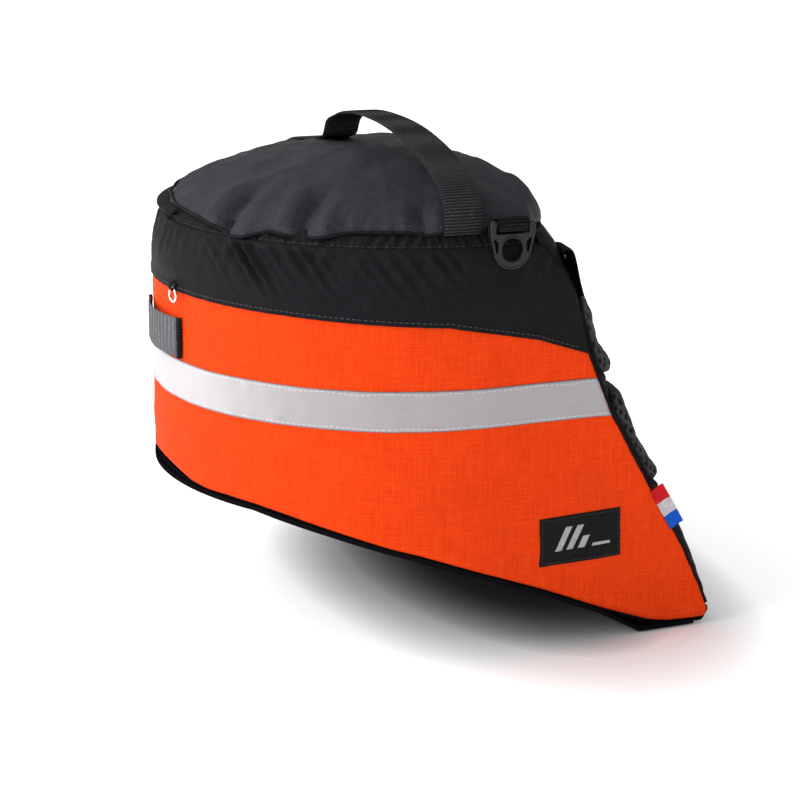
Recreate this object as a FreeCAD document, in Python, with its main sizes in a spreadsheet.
import FreeCAD, Part
import math
import os
import Sketcher

# Seat-back bag: round back, domed zip lid at the top, slanted padded face at +X.
# Frame: Z up, origin at floor level under the axis of the round back. +X points to the seat.
# Looking along +X, the right side of the bag is at -Y and the left side at +Y.

SIZES = {
    # plan of the body
    "back_radius": 160.0, "wall_thick": 1.0, "foam_thick": 3.8, "liner_thick": 0.8,
    "wall_top": 258.0, "rim_radius": 148.0, "rim_height": 267.0, "facing_front": 28.0,
    # base tray
    "tray_thick": 1.2, "tray_depth": 5.0,
    # padded face and the sheet behind it
    "face_fabric": 2.0, "face_half": 157.0, "frame_half": 154.0,
    "tip_radius": 4.6, "tip_x": 158.4, "tip_z": 9.6,
    # the face's upper corners are drawn back at an angle
    "corner_x": 50.0, "corner_turn": 18.0,
    # piping beside the face, and the half widths of the mesh cushions
    "binding_inner": 157.1, "binding_outer": 160.6,
    "mesh_upper_half": 136.0, "mesh_lower_half": 130.0, "mesh_channel_half": 126.0,
    # reflective tape and lamp loop
    "tape_low": 148.0, "tape_width": 25.0, "tape_thick": 0.5,
    "lamp_low": 175.3, "lamp_width": 25.0, "lamp_half": 35.0, "lamp_inner": 85.4,
    "lamp_thick": 1.6, "lamp_axis": -78.4,
    # sewn tab at the back of the zip
    "rear_tab_length": 7.0, "rear_tab_width": 8.0, "rear_tab_thick": 0.9,
    # lid
    "lid_rise": 34.0, "lid_thick": 1.2, "lid_front": 54.0, "lid_liner_thick": 0.6,
    # zip
    "chain_radius": 143.6, "chain_gap": 1.2, "coil_width": 1.6, "tape_z": 260.5,
    "zip_tape_thick": 0.6, "coil_thick": 1.5, "lid_zip_end": -22.5,
    "slider_length": 11.0, "slider_width": 6.2, "slider_park": 95.0,
    "plate_thick": 1.2, "flange_thick": 0.5, "pin_radius": 0.55, "pin_rise": 5.1,
    # carry handle
    "strap_width": 25.0, "strap_thick": 2.0, "handle_x": -15.7,
    # D-rings
    "eye_radius": 6.75, "ring_thick": 4.0, "ring_x": 7.5, "ring_y": 165.5, "eye_z": 258.0,
    "ring_loop_width": 20.0, "sleeve_radius": 4.6, "sleeve_bore": 2.95, "sleeve_rise": 15.2,
    # small steel ring
    "wire_radius": 0.8, "wire_ring_radius": 4.2, "wire_ring_turn": 11.0,
    "wire_ring_z": 219.0, "wire_ring_out": 163.0,
    # woven label
    "label_length": 56.0, "label_height": 31.5, "label_thick": 0.8,
    "label_x": 62.2, "label_y": -160.9, "label_z": 71.0, "label_turn": 2.0,
}

# Lines of the side view, as (x, z). Their points go to the sheet as lower_xa, lower_za, ...
SIDE_LINES = {
    # lower seam of the wall, rear to front
    "lower": [(-170.0, 96.0), (-129.0, 93.5), (-93.0, 83.6), (-43.0, 68.5), (-6.0, 55.4),
              (36.0, 39.7), (78.0, 21.7), (108.0, 5.0), (148.0, 5.0)],
    # front seam of the wall, bottom to top
    "front": [(154.5, 18.0), (136.5, 56.0), (120.3, 82.7), (99.8, 117.7), (81.8, 149.3),
              (64.8, 188.5), (53.1, 227.8), (44.0, 243.0), (34.0, 262.0)],
    # padded face, bottom to top
    "face": [(163.0, 18.0), (141.5, 56.0), (125.3, 82.7), (104.8, 117.7), (86.8, 149.3),
             (71.0, 188.5), (64.5, 227.8), (63.0, 243.0), (56.5, 265.5)],
    # seam between wall and collar, rear to front
    "collar": [(-175.0, 217.8), (-115.0, 216.0), (-28.0, 211.5), (31.0, 200.4),
               (61.0, 190.0), (75.0, 185.0)],
}


def name_points(line):
    """Pairs of aliases for the points of a side line."""
    return [("%s_x%s" % (line, letter), "%s_z%s" % (line, letter))
            for letter, _ in zip("abcdefghi", SIDE_LINES[line])]


for line, points in SIDE_LINES.items():
    for aliases, values in zip(name_points(line), points):
        SIZES.update(zip(aliases, values))

LOWER = name_points("lower")
FRONT = name_points("front")
FACE = name_points("face")
COLLAR = name_points("collar")

# limits beyond the bag, for side views that trim other solids
REAR = -175.0
AHEAD = 175.0
ACROSS = "170"

SIDES = ((-1, "right"), (1, "left"))

V = FreeCAD.Vector
Placement = FreeCAD.Placement
Rotation = FreeCAD.Rotation

doc = FreeCAD.newDocument("seat_back_bag")
sheet = doc.addObject("Spreadsheet::Sheet", "Sizes")
for row, (alias, value) in enumerate(SIZES.items(), start=1):
    sheet.set("A%d" % row, alias.replace("_", " "))
    sheet.set("B%d" % row, repr(value))
    sheet.setAlias("B%d" % row, alias)
doc.recompute()

NODES = {}


# ---------------------------------------------------------------- expressions
def num(alias):
    return float(sheet.get(alias))


def cell(text):
    """An expression over the sheet: every bare word that is an alias gets the sheet's name."""
    out, word = "", ""
    for char in str(text) + " ":
        if char.isalnum() or char == "_":
            word += char
        else:
            out += ("Sizes." + word) if word in SIZES else word
            out += char
            word = ""
    return out.strip()


def evaluate(text):
    """The value of a plain sum of aliases and numbers, such as 'rim_radius - 2.0'."""
    total, sign = 0.0, 1.0
    for word in str(text).replace("+", " + ").replace("-", " - ").split():
        if word == "+":
            sign = 1.0
        elif word == "-":
            sign = -1.0
        else:
            total += sign * (num(word) if word in SIZES else float(word))
            sign = 1.0
    return total


def plus(base, offset):
    """The expression of a base with a number added."""
    if offset == 0:
        return base
    return "%s %s %.4f" % (base, "+" if offset > 0 else "-", abs(offset))


def moved(points, dx, dz):
    return [(plus(x, dx), plus(z, dz)) for x, z in points]


def ribbon(points, first_shift, second_shift):
    """A closed outline between two shifted copies of a line."""
    return moved(points, *first_shift) + moved(points, *second_shift)[::-1]


def bind(obj, **props):
    """Bind properties to expressions; a double underscore stands for a dot."""
    for key, text in props.items():
        obj.setExpression(key.replace("__", "."), cell(text))
    return obj


# ---------------------------------------------------------------- basic solids
def keep(node, obj):
    """Label an object and list it for export."""
    obj.Label = node
    NODES[node] = obj


def origin_feature(body, role):
    return [o for o in body.Origin.OriginFeatures if o.Role == role][0]


def add_sketch(body, name, plane):
    sketch = body.newObject("Sketcher::SketchObject", name)
    sketch.AttachmentSupport = [(origin_feature(body, plane), "")]
    sketch.MapMode = "FlatFace"
    return sketch


def constrain(sketch, text, *args):
    """Add a dimension whose value is bound to an expression."""
    index = sketch.addConstraint(Sketcher.Constraint(*args, evaluate(text)))
    sketch.setExpression("Constraints[%d]" % index, cell(text))


def add_loop(sketch, points):
    """A closed polygon whose corners are bound to expressions."""
    first = sketch.GeometryCount
    count = len(points)
    corners = [V(evaluate(x), evaluate(z), 0) for x, z in points]
    for i in range(count):
        sketch.addGeometry(Part.LineSegment(corners[i], corners[(i + 1) % count]), False)
    for i in range(count):
        sketch.addConstraint(
            Sketcher.Constraint("Coincident", first + i, 2, first + (i + 1) % count, 1))
    for i, (x, z) in enumerate(points):
        constrain(sketch, x, "DistanceX", -1, 1, first + i, 1)
        constrain(sketch, z, "DistanceY", -1, 1, first + i, 1)


def prism(name, loops, low="-" + ACROSS, high=ACROSS, plane="XZ_Plane"):
    """A body: polygons padded from low to high, along Y from (x, z) or along X from (y, z)."""
    body = doc.addObject("PartDesign::Body", name)
    sketch = add_sketch(body, name + "_sketch", plane)
    # the normal of the XZ plane points to -Y
    offset = "-(%s)" % high if plane == "XZ_Plane" else low
    bind(sketch, AttachmentOffset__Base__z=offset)
    for loop in loops:
        add_loop(sketch, loop)
    pad = body.newObject("PartDesign::Pad", name + "_pad")
    pad.Profile = sketch
    bind(pad, Length="(%s) - (%s)" % (high, low))
    doc.recompute()
    return body


def box(name, x, y, z, dx, dy, dz):
    return bind(doc.addObject("Part::Box", name), Length=dx, Width=dy, Height=dz,
                Placement__Base__x=x, Placement__Base__y=y, Placement__Base__z=z)


def cylinder(name, radius, height, x="0", y="0", z="0", axis="Z"):
    solid = doc.addObject("Part::Cylinder", name)
    turn = {"Z": Rotation(), "X": Rotation(V(0, 1, 0), 90), "Y": Rotation(V(1, 0, 0), -90)}[axis]
    solid.Placement = Placement(V(), turn)
    return bind(solid, Radius=radius, Height=height, Placement__Base__x=x,
                Placement__Base__y=y, Placement__Base__z=z)


def join(kind, name, base, tool):
    result = doc.addObject("Part::" + kind, name)
    result.Base, result.Tool = base, tool
    result.Refine = True
    return result


def fuse(name, base, tool):
    return join("Fuse", name, base, tool)


def cut(name, base, tool):
    return join("Cut", name, base, tool)


def common(name, base, tool):
    return join("Common", name, base, tool)


def dee(name, radius, low, high, reach="165"):
    """A solid with a half-round back and straight sides, up to x = reach."""
    height = "(%s) - (%s)" % (high, low)
    back = cylinder(name + "_round", radius, height, z=low)
    straight = box(name + "_straight", "0", "-(%s)" % radius, low,
                   reach, "2 * (%s)" % radius, height)
    return fuse(name, back, straight)


def strip(name, outer, inner, low, high, reach="165"):
    """A band between two radii that follows the U of the walls, up to x = reach."""
    ring = cut(name + "_ring", dee(name + "_out", outer, low, high, reach),
               dee(name + "_in", inner, "(%s) - 1" % low, "(%s) + 1" % high, "220"))
    limit = box(name + "_limit", "-200", "-200", "(%s) - 2" % low,
                "200 + (%s)" % reach, "400", "(%s) - (%s) + 4" % (high, low))
    return common(name, ring, limit)


# ---------------------------------------------------------------- walls, foam and lining
def wall_side_view(name, lift, toe, front, head, top):
    """Side view of the walls; the arguments shift its edges.

    lift raises the lower seam, toe moves that seam's front end, front moves the front seam,
    head moves that seam's upper end and top raises the upper edge.
    """
    end_x, end_z = LOWER[-1]
    upper = plus("wall_top", top)
    return prism(name, [moved(LOWER[:-1], 0, lift) + [(plus(end_x, toe), plus(end_z, lift))]
                        + moved(FRONT[:-1], front, 0)
                        + [(plus(FRONT[-1][0], head), upper), (REAR, upper)]])


def build_walls():
    view = wall_side_view("wall_view", lift=0, toe=0, front=0, head=2.3, top=0)
    wall = common("wall_all", strip("wall_strip", "back_radius", "back_radius - wall_thick",
                                    "0", "wall_top"), view)
    below = prism("below_collar", [COLLAR + [(AHEAD, "collar_zf"), (AHEAD, -5.0), (REAR, -5.0)]])
    above = prism("above_collar", [moved(COLLAR, 0, 0.1) + [(AHEAD, "collar_zf + 0.1"),
                                                            (AHEAD, 270.0), (REAR, 270.0)]])
    keep("side_panel", common("side_panel_shape", wall, below))
    keep("collar_panel", common("collar_panel_shape", wall, above))


def build_side_foam():
    view = wall_side_view("foam_view", lift=0.3, toe=-4.0, front=-4.9, head=-2.0, top=-1)
    band = strip("foam_strip", "back_radius - wall_thick - 0.05",
                 "back_radius - wall_thick - foam_thick", "0", "wall_top")
    keep("side_foam", common("side_foam_shape", band, view))


def build_liner():
    """A tub with a floor and a front, open at the top."""
    tub_view = wall_side_view("tub_view", lift=0.1, toe=-4.0, front=-5.0, head=-2.7, top=-2)
    hollow_view = wall_side_view("hollow_view", lift=0.9, toe=-6.0, front=-5.9, head=-3.6, top=2)
    radius = "back_radius - wall_thick - foam_thick - 0.05"
    tub = common("tub", dee("tub_dee", radius, "0", "wall_top"), tub_view)
    hollow = common("hollow", dee("hollow_dee", radius + " - liner_thick", "0", "wall_top + 1"),
                    hollow_view)
    keep("liner", cut("liner_shape", tub, hollow))


def build_base():
    """A tray under the lower seam, with a board in it."""
    depth, thick = num("tray_depth"), num("tray_thick")
    outer_line = LOWER + [("lower_xi + 3.5", "lower_zi")]
    inner_line = LOWER + [("lower_xi + 2.3", "lower_zi")]
    outer_view = prism("base_out", [ribbon(outer_line, (0, -depth), (0, -0.05))])
    inner_view = prism("base_in", [ribbon(inner_line, (0, 1 - depth), (0, 1.0))])
    outer = common("tray_outer", dee("tray_dee", "back_radius", "-1", "120"), outer_view)
    inner = common("tray_inner", dee("tray_in_dee", "back_radius - tray_thick", "-2", "121"),
                   inner_view)
    keep("bottom_panel", cut("bottom_panel_shape", outer, inner))

    board_view = prism("board_view", [ribbon(LOWER, (0, 1.05 - depth), (0, -0.95))])
    board_radius = plus("back_radius", -(thick + 0.2))
    keep("base_board", common("base_board_shape", dee("board_dee", board_radius, "-1", "120"),
                              board_view))


# ---------------------------------------------------------------- padded face
# section of a drawn-back corner in its own frame, as (x, z): the first five points are its
# face, the last two lie in front of the bag
CORNER_SECTION = [(23.1, 196.0), (3.15, 231.5), (-1.05, 244.0), (-4.2, 262.0), (-5.3, 272.0),
                  (48.0, 272.0), (48.0, 196.0)]
CORNER_FACE_POINTS = 5


def corner_frame(side):
    """Frame of a drawn-back corner: origin on the side edge, local Y along the corner face."""
    return Placement(V(num("corner_x"), side * num("face_half"), 0),
                     Rotation(V(0, 0, 1), side * num("corner_turn")))


def corner_tool(name, side, inset):
    """Everything in front of a drawn-back corner, moved inwards by the inset."""
    section = [(round(x - inset, 4) if i < CORNER_FACE_POINTS else x, z)
               for i, (x, z) in enumerate(CORNER_SECTION)]
    low, high = ("-8", "60") if side < 0 else ("-60", "8")
    tool = prism(name, [section], low, high)
    tool.Placement = corner_frame(side)
    return tool


def cut_corners(name, shape, inset):
    for side, word in SIDES:
        tool = corner_tool("%s_tool_%s" % (name, word), side, inset)
        shape = cut("%s_%s" % (name, word), shape, tool)
    return shape


def face_filling(front_inset, toe_inset):
    """Outline of the space between the front seam and the face, set back from the face."""
    low_z, high_z = "front_za + 0.5", "face_zi - 0.5"
    return ([("front_xa + 0.2", low_z)] + moved(FRONT[1:-1], 0.2, 0)
            + [("front_xi + 0.2", "front_zi"), ("front_xi + 1.0", high_z),
               (plus("face_xi", -front_inset), high_z)]
            + moved(FACE[1:-1], -front_inset, 0)[::-1]
            + [(plus("face_xa", -toe_inset), low_z)])


def build_face():
    """Fabric skin, foam under it, a sheet behind the foam and a round tip at the bottom."""
    fabric = num("face_fabric")
    skin = cut_corners("skin_cut", prism("seat_panel_body", [ribbon(FACE, (0, 0), (-fabric, 0))],
                                         "-face_half", "face_half"), 0.0)
    room = prism("corner_room", [face_filling(1.0, 1.6)], "-face_half", "face_half")
    for side, word in SIDES:
        layer = cut("corner_layer_" + word, corner_tool("corner_deep_" + word, side, fabric),
                    corner_tool("corner_flush_" + word, side, 0.0))
        skin = fuse("skin_join_" + word, skin, common("corner_skin_" + word, layer, room))
    keep("seat_panel", skin)

    foam = prism("seat_foam_body", [face_filling(2.1, 2.6)], "-face_half", "face_half")
    keep("seat_foam", cut_corners("foam_cut", foam, fabric + 0.05))
    keep("frame_sheet", prism("frame_sheet_body", [ribbon(FRONT[:-1], (-2.0, 0), (-4.0, 0))],
                              "-frame_half", "frame_half"))
    keep("tip_binding", cylinder("tip_round", "tip_radius", "2 * face_half", x="tip_x",
                                 y="-face_half", z="tip_z", axis="Y"))


def build_edge_bindings():
    """Piping down the front seams."""
    outline = ribbon([("front_xa", "front_za + 1.0")] + FRONT[1:-1], (0.3, 0), (3.8, 0))
    keep("edge_binding_left",
         prism("binding_left_body", [outline], "binding_inner", "binding_outer"))
    keep("edge_binding_right",
         prism("binding_right_body", [outline], "-binding_outer", "-binding_inner"))


def build_mesh():
    """Two mesh cushions on the face, with a thinner channel between them."""
    upper = prism("mesh_upper", [[("face_xe - 4.0", 168.0), ("face_xf + 0.1", "face_zf"),
                                  ("face_xg + 1.3", 222.2), (72.35, 222.2), (84.5, 168.0)]],
                  "-mesh_upper_half", "mesh_upper_half")
    lower = prism("mesh_lower", [[(117.0, 98.0), ("face_xd + 0.1", "face_zd"),
                                  ("face_xe + 0.1", "face_ze"), (82.0, 162.0), (88.3, 162.0),
                                  (123.3, 98.0)]],
                  "-mesh_lower_half", "mesh_lower_half")
    channel = prism("mesh_channel", [[(81.9, 161.5), (79.6, 168.5), (83.0, 168.5),
                                      (86.0, 161.5)]],
                    "-mesh_channel_half", "mesh_channel_half")
    keep("mesh_pad", fuse("mesh_pad_shape", fuse("mesh_pair", upper, lower), channel))


# ---------------------------------------------------------------- zip facing and back trims
def dee_sketch(body, name, radius, reach, height):
    """A horizontal D: half circle at the back, straight sides up to x = reach."""
    sketch = add_sketch(body, name, "XY_Plane")
    bind(sketch, AttachmentOffset__Base__z=height)
    r, x = evaluate(radius), evaluate(reach)
    circle = Part.Circle(V(0, 0, 0), V(0, 0, 1), r)
    corners = [V(0, -r, 0), V(x, -r, 0), V(x, r, 0), V(0, r, 0)]
    sketch.addGeometry(Part.ArcOfCircle(circle, math.pi / 2, 3 * math.pi / 2), False)
    for start, end in zip(corners, corners[1:]):
        sketch.addGeometry(Part.LineSegment(start, end), False)
    for relation in (("Coincident", 0, 3, -1, 1), ("Coincident", 0, 2, 1, 1),
                     ("Coincident", 1, 2, 2, 1), ("Coincident", 2, 2, 3, 1),
                     ("Coincident", 3, 2, 0, 1), ("PointOnObject", 0, 1, -2),
                     ("PointOnObject", 0, 2, -2), ("Horizontal", 1), ("Horizontal", 3)):
        sketch.addConstraint(Sketcher.Constraint(*relation))
    constrain(sketch, radius, "Radius", 0)
    sketch.addConstraint(Sketcher.Constraint("Vertical", 2))
    constrain(sketch, reach, "DistanceX", -1, 1, 2, 1)
    return sketch


def build_zip_facing():
    """A leaning band from the wall's top up to the rim."""
    body = doc.addObject("PartDesign::Body", "facing_body")
    # feature type, name, lower radius, upper radius, reach
    lofts = [("Additive", "facing_out", "back_radius", "rim_radius + 0.6", "facing_front"),
             ("Subtractive", "facing_in", "back_radius - 1.3", "rim_radius - 0.7",
              "facing_front + 5")]
    for kind, name, low_radius, top_radius, reach in lofts:
        low = dee_sketch(body, name + "_low", low_radius, reach, "wall_top + 0.1")
        top = dee_sketch(body, name + "_top", top_radius, reach, "rim_height - 0.5")
        loft = body.newObject("PartDesign::%sLoft" % kind, name + "_loft")
        loft.Profile = low
        loft.Sections = [top]
        loft.Ruled = True
        doc.recompute()
    keep("zip_facing", body)


def build_reflective_strip():
    view = prism("tape_view", [moved(FRONT[:-1], -1.0, 0) + [(REAR, "front_zh"), (REAR, 10.0)]])
    band = strip("reflective", "back_radius + 0.05 + tape_thick", "back_radius + 0.05",
                 "tape_low", "tape_low + tape_width")
    keep("reflective_strip", common("reflective_shape", band, view))


def build_light_loop():
    """A bowed strap across the back."""
    ring = cut("lamp_ring",
               cylinder("lamp_out", "lamp_inner + lamp_thick", "lamp_width", x="lamp_axis",
                        z="lamp_low"),
               cylinder("lamp_in", "lamp_inner", "lamp_width + 2", x="lamp_axis",
                        z="lamp_low - 1"))
    room = box("lamp_box", "-175", "-lamp_half", "lamp_low - 1",
               "40", "2 * lamp_half", "lamp_width + 2")
    keep("light_loop", common("light_loop_shape", ring, room))


def build_rear_tab():
    """A small sloping tab at the back of the zip."""
    tab = doc.addObject("Part::Box", "rear_tab_shape")
    bind(tab, Length="rear_tab_length", Width="rear_tab_width", Height="rear_tab_thick")
    tab.Placement = Placement(V(-159.6, -num("rear_tab_width") / 2, 258.62),
                              Rotation(V(0, 1, 0), -36))
    keep("rear_tab", tab)


# ---------------------------------------------------------------- lid
# distances from the middle, as shares of the rim radius, where the lid's arch is sampled
ARCH_SHARES = [0.985, 0.94, 0.87, 0.76, 0.62, 0.45, 0.25]

# side view of the lid's front (x, z), from below the rim up to the crown
LID_FRONT_LINE = [(54.0, 255.0), (54.0, 267.0), (51.0, 275.0), (45.0, 284.0), (37.5, 291.0),
                  (28.0, 296.5), (15.0, 300.0), (-5.0, 302.0)]


def arch_side(inset, drop, sign):
    """One side of the lid's cross-section (y, z), from its lower edge towards the crown."""
    edge = plus("rim_radius" if sign > 0 else "-rim_radius", -sign * inset)
    side = [(edge, plus("rim_height", -drop))]
    if drop:
        side.append((edge, "rim_height"))
    radius, rise = num("rim_radius") - inset, num("lid_rise") - inset
    for share in ARCH_SHARES:
        z = num("rim_height") + rise * (1 - share ** 2.4) ** (1 / 1.7)
        side.append((round(sign * radius * share, 4), round(z, 4)))
    return side


def dome(name, inset, drop):
    """The lid's solid, shrunk by the inset: a half turn at the back, an arch in front.

    Its lower edge lies at the rim, lowered by drop.
    """
    body = doc.addObject("PartDesign::Body", name)
    half = arch_side(inset, drop, 1)
    crown = (0, round(num("rim_height") + num("lid_rise") - inset, 4))

    section = add_sketch(body, name + "_section", "YZ_Plane")
    add_loop(section, half + [crown, (0, half[0][1])])
    back = body.newObject("PartDesign::Revolution", name + "_back")
    back.Profile = section
    back.ReferenceAxis = (origin_feature(body, "Z_Axis"), [""])
    back.Angle = 180.0
    doc.recompute()
    # the half turn must lie behind x = 0
    if body.Shape.BoundBox.XMax > 1.0:
        back.Reversed = True
        doc.recompute()

    arch = add_sketch(body, name + "_arch", "YZ_Plane")
    add_loop(arch, half + [crown] + arch_side(inset, drop, -1)[::-1])
    front = body.newObject("PartDesign::Pad", name + "_front")
    front.Profile = arch
    bind(front, Length="lid_front + 5")
    doc.recompute()
    return body


def lid_solid(letter, inset, drop):
    """The dome with its front rounded down to the rim."""
    line = [(round(x - inset, 4), round(z - inset, 4) if i > 1 else z)
            for i, (x, z) in enumerate(LID_FRONT_LINE)]
    view = [(REAR, 255.0)] + line + [(REAR, round(306.0 - inset, 4))]
    return common("lid_solid_" + letter, dome("dome_" + letter, inset, drop),
                  prism("lid_front_" + letter, [view]))


def build_lid():
    panel_inset = num("lid_thick")
    liner_outer = panel_inset + 0.05
    liner_inner = liner_outer + num("lid_liner_thick")
    keep("lid_panel", cut("lid_panel_shape", lid_solid("a", 0.0, 0),
                          lid_solid("b", panel_inset, 3)))
    keep("lid_liner", cut("lid_liner_shape", lid_solid("c", liner_outer, 0),
                          lid_solid("d", liner_inner, 3)))
    # corded edge round the rim, outside the chain
    keep("lid_piping", strip("lid_piping_shape", "rim_radius + 0.9", "rim_radius + 0.05",
                             "rim_height", "rim_height + 2.4", "10"))
    # flap inside the rim, down to the lid's half of the zip
    flap = strip("skirt_strip", "chain_radius - 6.6", "chain_radius - 7.6", "tape_z",
                 "rim_height + 40", "20")
    keep("lid_skirt", common("lid_skirt_shape", flap, lid_solid("e", liner_inner + 0.05, 8)))


# ---------------------------------------------------------------- zip
CHAIN_OUTER = "chain_radius + chain_gap / 2"
CHAIN_INNER = "chain_radius - chain_gap / 2"
TAPE_TOP = "tape_z + zip_tape_thick"
COIL_LOW = TAPE_TOP + " + 0.05"
COIL_TOP = TAPE_TOP + " + coil_thick + 0.05"


def build_zip_chain():
    """Tape and coil of both halves; the body's half is the outer one."""
    keep("zip_tape_body", strip("tape_body", "back_radius - 5.6", CHAIN_OUTER, "tape_z",
                                TAPE_TOP, "26"))
    keep("zip_coil_body", strip("coil_body", CHAIN_OUTER + " + coil_width", CHAIN_OUTER,
                                COIL_LOW, COIL_TOP, "19"))
    # the lid's half runs round the back only, clear of the slider
    back_only = box("back_only", "-175", "-175", "250", "175 + lid_zip_end", "350", "40")
    tape = strip("tape_lid_strip", CHAIN_INNER, "chain_radius - 6.55", "tape_z", TAPE_TOP, "5")
    keep("zip_tape_lid", common("tape_lid", tape, back_only))
    coil = strip("coil_lid_strip", CHAIN_INNER, CHAIN_INNER + " - coil_width",
                 COIL_LOW, COIL_TOP, "5")
    keep("zip_coil_lid", common("coil_lid", coil, back_only))


def build_zip_stops():
    """A block at each end of the body's coil."""
    pair = doc.addObject("Part::Compound", "stop_pair")
    pair.Links = [box("stop_" + word, "19.2", y, COIL_LOW, "3", "coil_width", "coil_thick + 0.4")
                  for word, y in (("left", CHAIN_OUTER),
                                  ("right", "-(%s + coil_width)" % CHAIN_OUTER))]
    keep("zip_stops", pair)


def parked():
    """Turn from the back of the bag, where slider and pull are drawn, to the parking place."""
    return Placement(V(), Rotation(V(0, 0, 1), num("slider_park") - 180.0))


def build_zip_slider():
    width, length = "slider_width", "slider_length"
    outer_x, rear_y = "-(chain_radius + slider_width / 2)", "-slider_length / 2"
    inner_x = "-(chain_radius - slider_width / 2 + flange_thick)"
    flange_z = TAPE_TOP + " + 0.2"
    # name, x, y, z, length, width, height
    blocks = [
        ("low", outer_x, rear_y, "tape_z - 1.6", width, length, "plate_thick"),
        ("post", "-(chain_radius + 0.35)", rear_y + " + 0.5", "tape_z - 0.6", "0.7", "5", "4.0"),
        ("top", outer_x, rear_y, TAPE_TOP + " + coil_thick + 0.45", width, length,
         "plate_thick"),
        ("flange_in", inner_x, rear_y, flange_z, "flange_thick", length, "2.2"),
        ("flange_out", outer_x, rear_y, flange_z, "flange_thick", length, "2.2"),
    ]
    # ears that hold the pin
    ears = [("ear_out", "-(chain_radius + 2.7)", "-0.9", "tape_z + 3.6", "0.8", "1.8", "2.2"),
            ("ear_in", "-(chain_radius - 1.9)", "-0.9", "tape_z + 3.6", "0.8", "1.8", "2.2")]
    pieces = [box("slider_" + name, *sizes) for name, *sizes in blocks]
    pieces.append(cylinder("slider_pin", "pin_radius", "4.6", x="-(chain_radius + 2.3)",
                           z="tape_z + pin_rise", axis="X"))
    pieces += [box("slider_" + name, *sizes) for name, *sizes in ears]
    slider = pieces[0]
    for i, piece in enumerate(pieces[1:]):
        slider = fuse("slider_join_%d" % i, slider, piece)
    slider.Placement = parked()
    keep("zip_slider", slider)


def build_zip_pull():
    """An eye round the slider's pin and a flat tongue along the chain."""
    pin_z = "tape_z + pin_rise"
    eye = cut("pull_eye",
              cylinder("pull_eye_out", "1.15", "3.2", x="-(chain_radius + 1.6)", z=pin_z,
                       axis="X"),
              cylinder("pull_eye_in", "0.7", "5", x="-(chain_radius + 2.5)", z=pin_z, axis="X"))
    tongue = box("pull_tongue", "-(chain_radius + 1.4)", "0.9", "tape_z + 4.5",
                 "2.9", "12", "1.2")
    # the tongue is turned to follow the curve of the chain
    tongue.Placement = Placement(V(), Rotation(V(0, 0, 1), -8))
    pull = fuse("pull_shape", eye, tongue)
    pull.Placement = parked()
    keep("zip_pull", pull)


# ---------------------------------------------------------------- carry handle
# centre line in the cross view (y, z): right end, over the crown, left end
HANDLE_LINE = [(-150.2, 272.2), (-149.2, 280.5), (-140.5, 292.5), (-124.0, 303.0),
               (-102.0, 311.0), (-72.0, 316.0), (-41.0, 318.0), (3.0, 317.0), (39.0, 312.5),
               (70.0, 307.5), (100.0, 301.0), (122.0, 293.5), (138.5, 286.0), (148.6, 279.0),
               (150.2, 272.2)]
HANDLE_SPANS = 20


def spline(points):
    curve = Part.BSplineCurve()
    curve.interpolate(points)
    return curve


def build_handle():
    """A strap of even thickness along the centre line."""
    rear_x = num("handle_x") - num("strap_width") / 2
    centre = spline([V(rear_x, y, z) for y, z in HANDLE_LINE])
    start, end = centre.FirstParameter, centre.LastParameter
    upper, lower = [], []
    for i in range(HANDLE_SPANS + 1):
        parameter = start + (end - start) * i / HANDLE_SPANS
        point = centre.value(parameter)
        along = centre.tangent(parameter)[0]
        offset = V(0, -along.z, along.y).normalize() * (num("strap_thick") / 2)
        upper.append(point + offset)
        lower.append(point - offset)
    outline = Part.Wire([spline(upper).toShape(),
                         Part.LineSegment(upper[-1], lower[-1]).toShape(),
                         spline(lower).toShape(),
                         Part.LineSegment(lower[0], upper[0]).toShape()])
    handle = doc.addObject("Part::Feature", "handle_shape")
    handle.Shape = Part.Face(outline).extrude(V(num("strap_width"), 0, 0))
    keep("handle", handle)


# ---------------------------------------------------------------- D-rings and their loops
# the D-ring's outlines as (x, z) from the centre of its eye
RING_TOE_RADIUS = 12.0
RING_WINDOW = [(-10.8, 13.4), (-10.8, 9.6), (10.8, 9.6), (10.8, 13.4)]
RING_SLOT = [(11.9, 7.0), (10.4, -2.5), (9.2, -1.0), (9.2, 4.0)]


def build_d_ring(word, y):
    """A flat plate with square shoulders, a round toe, a window, two slots and a round eye."""
    angles = [math.radians(k) for k in range(-75, 76, 15)]
    toe = [(RING_TOE_RADIUS * math.sin(a), -RING_TOE_RADIUS * math.cos(a)) for a in angles]
    outline = [(-14.5, 17.0), (-14.5, 10.0)] + toe + [(14.5, 10.0), (14.5, 17.0)]
    rear_slot = [(-x, z) for x, z in RING_SLOT]
    loops = [[(plus("ring_x", x), plus("eye_z", z)) for x, z in loop]
             for loop in (outline, RING_WINDOW, rear_slot, RING_SLOT)]
    name = "d_ring_" + word
    ring = prism(name + "_body", loops, y + " - ring_thick / 2", y + " + ring_thick / 2")

    sketch = add_sketch(ring, name + "_eye", "XZ_Plane")
    centre = V(num("ring_x"), num("eye_z"), 0)
    sketch.addGeometry(Part.Circle(centre, V(0, 0, 1), num("eye_radius")), False)
    constrain(sketch, "ring_x", "DistanceX", -1, 1, 0, 3)
    constrain(sketch, "eye_z", "DistanceY", -1, 1, 0, 3)
    constrain(sketch, "eye_radius", "Radius", 0)
    hole = ring.newObject("PartDesign::Pocket", name + "_bore")
    hole.Profile = sketch
    hole.Type = "ThroughAll"
    hole.Midplane = True
    doc.recompute()
    keep(name, ring)


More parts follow.
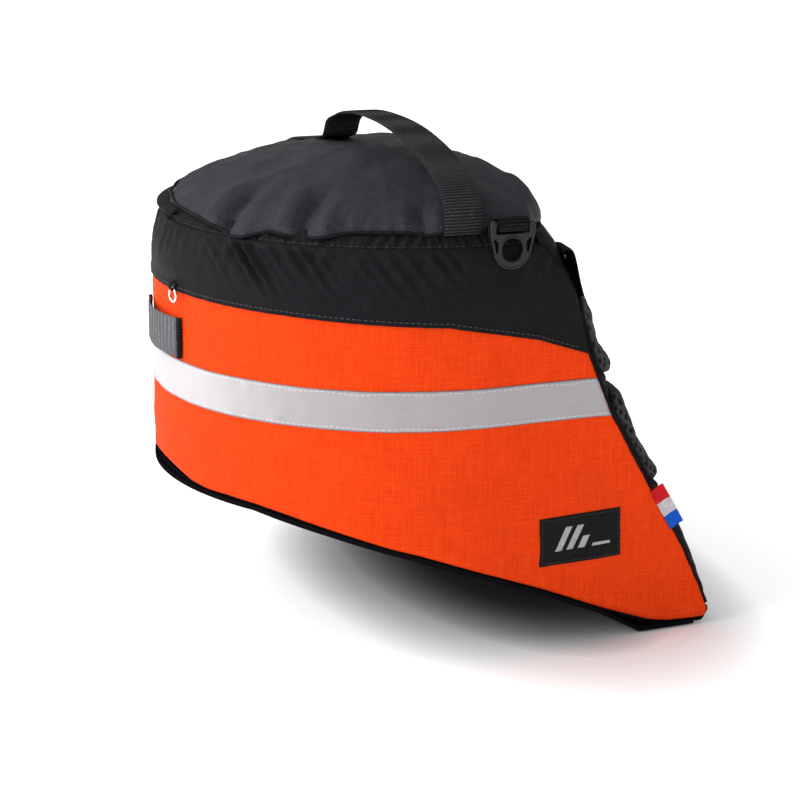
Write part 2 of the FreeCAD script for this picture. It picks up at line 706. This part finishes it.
def build_d_ring_loop(side, word, y):
    """Webbing: a sleeve round the ring's top bar and a tail into the seam."""
    name = "loop_" + word
    bar_z = "eye_z + sleeve_rise"
    low, high = "ring_x - ring_loop_width / 2", "ring_x + ring_loop_width / 2"
    sleeve = cylinder(name + "_sleeve", "sleeve_radius", "ring_loop_width", x=low, y=y, z=bar_z,
                      axis="X")
    # distance out from the middle, height above the eye
    section = [(167.2, 17.6), (163.2, 11.4), (150.4, 8.9), (150.4, 11.9), (160.0, 16.5)]
    tail = prism(name + "_tail", [[(side * out, plus("eye_z", rise)) for out, rise in section]],
                 low, high, plane="YZ_Plane")
    room = cylinder(name + "_room", "sleeve_bore", "30", x="ring_x - 15", y=y, z=bar_z, axis="X")
    keep("d_ring_loop_" + word, cut(name + "_shape", fuse(name + "_solid", sleeve, tail), room))


# section of the corner loops in the corner's frame, as (x, z)
CORNER_LOOP_OUTER = [(8.7, 222.5), (3.7, 231.5), (-0.4, 244.0), (-1.6, 250.0), (0.4, 253.3),
                     (3.9, 253.5), (7.6, 250.6), (9.9, 243.5), (11.2, 233.0), (11.4, 222.5)]
CORNER_LOOP_INNER = [(8.8, 225.2), (4.9, 232.0), (0.9, 244.1), (-0.2, 249.8), (1.0, 252.0),
                     (3.5, 252.1), (6.4, 249.8), (8.6, 243.2), (9.9, 233.0), (10.05, 225.2)]


def build_corner_loop(side, word):
    """Webbing loop on a drawn-back corner of the padded face."""
    low, high = ("3.0", "28.0") if side < 0 else ("-28.0", "-3.0")
    loop = prism("front_loop_%s_body" % word, [CORNER_LOOP_OUTER, CORNER_LOOP_INNER], low, high)
    loop.Placement = corner_frame(side)
    keep("front_loop_" + word, loop)


def build_side_fittings():
    for side, word in SIDES:
        y = "-ring_y" if side < 0 else "ring_y"
        build_d_ring(word, y)
        build_d_ring_loop(side, word, y)
        build_corner_loop(side, word)


# ---------------------------------------------------------------- steel ring, label and tag
def build_steel_ring():
    """A wire ring on the back of the wall, and the tab it hangs from."""
    turn = Rotation(V(0, 0, 1), num("wire_ring_turn"))
    ring = doc.addObject("Part::Torus", "wire_ring")
    bind(ring, Radius1="wire_ring_radius", Radius2="wire_radius")
    centre = V(-num("wire_ring_out"), 0, num("wire_ring_z") - num("wire_ring_radius"))
    ring.Placement = Placement(turn.multVec(centre), turn.multiply(Rotation(V(0, 1, 0), 90)))
    keep("steel_ring", ring)

    block = box("ring_tab_out", "-wire_ring_out - 2.2", "-2", "wire_ring_z - 2.2",
                "5.0", "4", "6.2")
    hole = cylinder("ring_tab_hole", "1.45", "6", x="-wire_ring_out", y="-3", z="wire_ring_z",
                    axis="Y")
    tab = cut("ring_tab_shape", block, hole)
    tab.Placement = Placement(V(), turn)
    keep("ring_tab", tab)


def build_label_and_tag():
    """A slightly turned label and a slanted tag, both on the right side."""
    label = doc.addObject("Part::Box", "label_shape")
    bind(label, Length="label_length", Width="label_thick", Height="label_height")
    turn = Rotation(V(0, 1, 0), -num("label_turn"))
    to_middle = turn.multVec(V(num("label_length") / 2, 0, num("label_height") / 2))
    middle = V(num("label_x"), num("label_y"), num("label_z"))
    label.Placement = Placement(middle - to_middle, turn)
    keep("woven_label", label)
    keep("stripe_tag", prism("stripe_tag_body", [[(110.6, 95.1), (126.4, 68.9), (135.5, 73.4),
                                                  (119.5, 99.6)]], "-162.6", "-160.8"))


# ---------------------------------------------------------------- build, check and export
def export_nodes():
    doc.recompute()
    for obj in doc.Objects:
        bad = [state for state in obj.State if state in ("Invalid", "Error")]
        if bad:
            raise RuntimeError("%s: %s" % (obj.Name, bad))
    for node, obj in NODES.items():
        shape = obj.Shape
        if shape.isNull() or not shape.isValid() or not shape.Solids:
            raise RuntimeError("%s has no valid solid" % node)
    os.makedirs("parts", exist_ok=True)
    for node, obj in NODES.items():
        obj.Shape.exportStep("parts/%s.step" % node)


build_walls()
build_side_foam()
build_liner()
build_base()
build_face()
build_edge_bindings()
build_mesh()
build_zip_facing()
build_reflective_strip()
build_light_loop()
build_rear_tab()
build_lid()
build_zip_chain()
build_zip_stops()
build_zip_slider()
build_zip_pull()
build_handle()
build_side_fittings()
build_steel_ring()
build_label_and_tag()
export_nodes()
